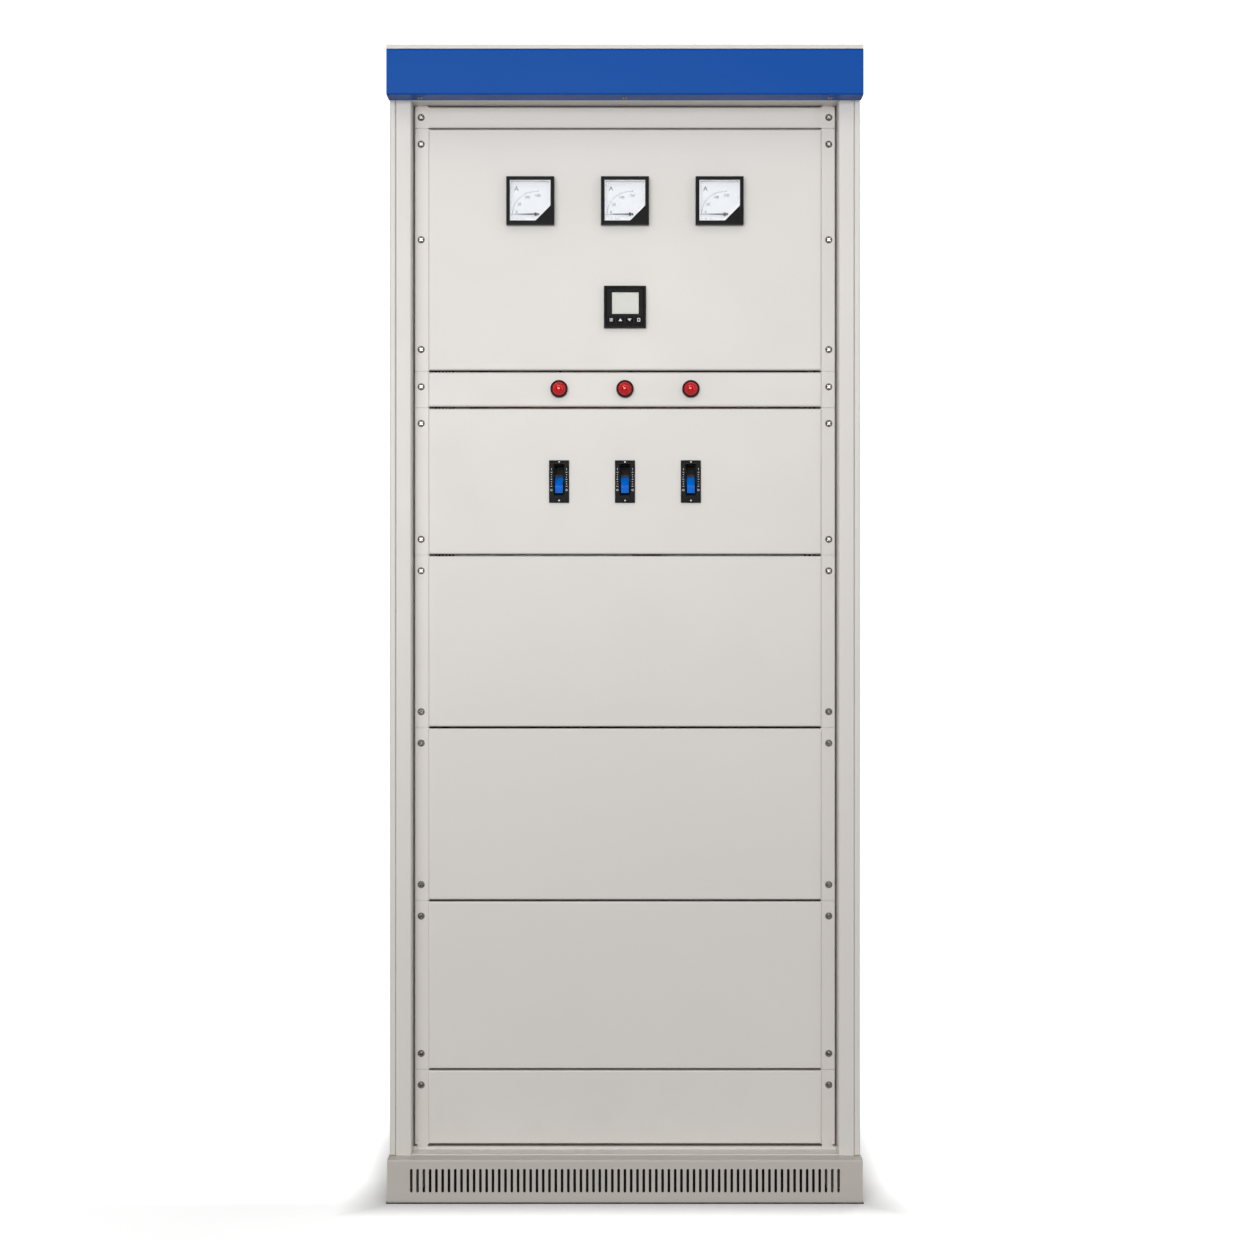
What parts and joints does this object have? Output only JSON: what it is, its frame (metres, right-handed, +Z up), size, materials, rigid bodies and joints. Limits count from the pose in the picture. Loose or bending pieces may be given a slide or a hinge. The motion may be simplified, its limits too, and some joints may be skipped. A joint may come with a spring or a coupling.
{
  "type": "industrial switchboard cabinet",
  "caption": "Free-standing steel switchboard cabinet with moving-needle meters, a panel power meter, signal lamps, moulded-case breakers, screwed front panels and a hinged rear door.",
  "frame": {"origin": "on the floor, at the middle of the cabinet's width and of its overall depth", "axes": "+Z up, +X to the right seen from the front, +Y to the back; the front faces -Y"},
  "size_m": [0.803, 0.65, 1.952],
  "materials": {
    "powder_coat_light": "satin powder coat, light grey, fine texture",
    "powder_coat_plinth": "satin powder coat, warm grey",
    "powder_coat_blue": "satin powder coat, blue",
    "zinc_steel": "zinc plated",
    "screw_steel": "bright plated",
    "black_plastic": "fine grained, black",
    "grey_plastic": "grey thermoplastic",
    "dial_paint": "matt white",
    "window": "clear",
    "lcd": "reflective display, pale",
    "red_lens": "translucent red",
    "blue_plastic": "blue handle",
    "copper": "bare copper",
    "insulator_resin": "red-brown cast resin",
    "wire_sheath": "black wire sheath"
  },
  "bodies": {
    "cabinet": {"post_front_left": "powder_coat_light", "post_front_right": "powder_coat_light", "post_rear_left": "powder_coat_light", "post_rear_right": "powder_coat_light", "top_rail_front": "powder_coat_light", "bottom_rail_front": "powder_coat_light", "rear_rails": "powder_coat_light", "depth_rails": "powder_coat_light", "panel_uprights": "powder_coat_light", "side_panel_left": "powder_coat_light", "side_panel_right": "powder_coat_light", "roof_cover": "powder_coat_light", "header_fascia": "powder_coat_blue", "plinth_grille": "powder_coat_plinth", "plinth_channels": "powder_coat_plinth", "floor_plates": "zinc_steel", "trim_strip": "powder_coat_light", "meter_panel": "powder_coat_light", "lamp_panel": "powder_coat_light", "breaker_panel": "powder_coat_light", "blank_panel_upper": "powder_coat_light", "blank_panel_middle": "powder_coat_light", "blank_panel_lower": "powder_coat_light", "bottom_panel": "powder_coat_light", "panel_screws": "screw_steel", "cover_screws": "screw_steel", "ammeter_housings": "black_plastic", "ammeter_dials": "dial_paint", "ammeter_windows": "window", "power_meter_housing": "black_plastic", "power_meter_screen": "lcd", "lamp_bodies": "black_plastic", "lamp_lenses": "red_lens", "breaker_cases": "black_plastic", "breaker_escutcheons": "black_plastic", "device_plate": "zinc_steel", "main_busbars": "copper", "busbar_insulators": "insulator_resin", "current_transformers": "black_plastic", "terminal_strip": "grey_plastic", "earth_bar": "copper", "control_wires": "wire_sheath", "door_hinges_fixed": "zinc_steel"},
    "rear_door": {"rear_door": "powder_coat_light", "door_hinges_moving": "zinc_steel"},
    "door_handle": {"door_handle": "black_plastic", "lock_cam": "zinc_steel"},
    "needle_left": {"needle_left": "black_plastic"},
    "needle_centre": {"needle_centre": "black_plastic"},
    "needle_right": {"needle_right": "black_plastic"},
    "zero_screw_left": {"zero_screw_left": "black_plastic"},
    "zero_screw_centre": {"zero_screw_centre": "black_plastic"},
    "zero_screw_right": {"zero_screw_right": "black_plastic"},
    "meter_button_1": {"meter_button_1": "black_plastic"},
    "meter_button_2": {"meter_button_2": "black_plastic"},
    "meter_button_3": {"meter_button_3": "black_plastic"},
    "meter_button_4": {"meter_button_4": "black_plastic"},
    "breaker_handle_left": {"breaker_handle_left": "blue_plastic"},
    "breaker_handle_centre": {"breaker_handle_centre": "blue_plastic"},
    "breaker_handle_right": {"breaker_handle_right": "blue_plastic"}
  },
  "joints": [
    {"name": "rear_door_hinge", "type": "hinge", "parent": "cabinet", "child": "rear_door", "pos_m": [0.393, 0.2965, 1], "axis": [0, 0, -1], "range_deg": [0, 115]},
    {"name": "door_handle_turn", "type": "hinge", "parent": "rear_door", "child": "door_handle", "pos_m": [-0.318, 0.3, 1.01], "axis": [0, 1, 0], "range_deg": [0, 90]},
    {"name": "breaker_toggle_left", "type": "hinge", "parent": "cabinet", "child": "breaker_handle_left", "pos_m": [-0.113, -0.226, 1.2243], "axis": [-1, 0, 0], "range_deg": [0, 68]},
    {"name": "breaker_toggle_centre", "type": "hinge", "parent": "cabinet", "child": "breaker_handle_centre", "pos_m": [0, -0.226, 1.2243], "axis": [-1, 0, 0], "range_deg": [0, 68]},
    {"name": "breaker_toggle_right", "type": "hinge", "parent": "cabinet", "child": "breaker_handle_right", "pos_m": [0.113, -0.226, 1.2243], "axis": [-1, 0, 0], "range_deg": [0, 68]},
    {"name": "needle_swing_left", "type": "hinge", "parent": "cabinet", "child": "needle_left", "pos_m": [-0.1535, -0.2513, 1.6795], "axis": [0, 1, 0], "range_deg": [0, 96], "stiffness_Nm_per_rad": 0.0004},
    {"name": "needle_swing_centre", "type": "hinge", "parent": "cabinet", "child": "needle_centre", "pos_m": [0.0085, -0.2513, 1.6795], "axis": [0, 1, 0], "range_deg": [0, 96], "stiffness_Nm_per_rad": 0.0004},
    {"name": "needle_swing_right", "type": "hinge", "parent": "cabinet", "child": "needle_right", "pos_m": [0.1705, -0.2513, 1.6795], "axis": [0, 1, 0], "range_deg": [0, 96], "stiffness_Nm_per_rad": 0.0004},
    {"name": "zero_adjust_left", "type": "hinge", "parent": "cabinet", "child": "zero_screw_left", "pos_m": [-0.133, -0.259, 1.6712], "axis": [0, -1, 0], "range_deg": [-40, 40]},
    {"name": "zero_adjust_centre", "type": "hinge", "parent": "cabinet", "child": "zero_screw_centre", "pos_m": [0.029, -0.259, 1.6712], "axis": [0, -1, 0], "range_deg": [-40, 40]},
    {"name": "zero_adjust_right", "type": "hinge", "parent": "cabinet", "child": "zero_screw_right", "pos_m": [0.191, -0.259, 1.6712], "axis": [0, -1, 0], "range_deg": [-40, 40]},
    {"name": "button_press_1", "type": "slide", "parent": "cabinet", "child": "meter_button_1", "axis": [0, 1, 0], "range_m": [0, 0.001], "stiffness_N_per_m": 400},
    {"name": "button_press_2", "type": "slide", "parent": "cabinet", "child": "meter_button_2", "axis": [0, 1, 0], "range_m": [0, 0.001], "stiffness_N_per_m": 400},
    {"name": "button_press_3", "type": "slide", "parent": "cabinet", "child": "meter_button_3", "axis": [0, 1, 0], "range_m": [0, 0.001], "stiffness_N_per_m": 400},
    {"name": "button_press_4", "type": "slide", "parent": "cabinet", "child": "meter_button_4", "axis": [0, 1, 0], "range_m": [0, 0.001], "stiffness_N_per_m": 400}
  ]
}
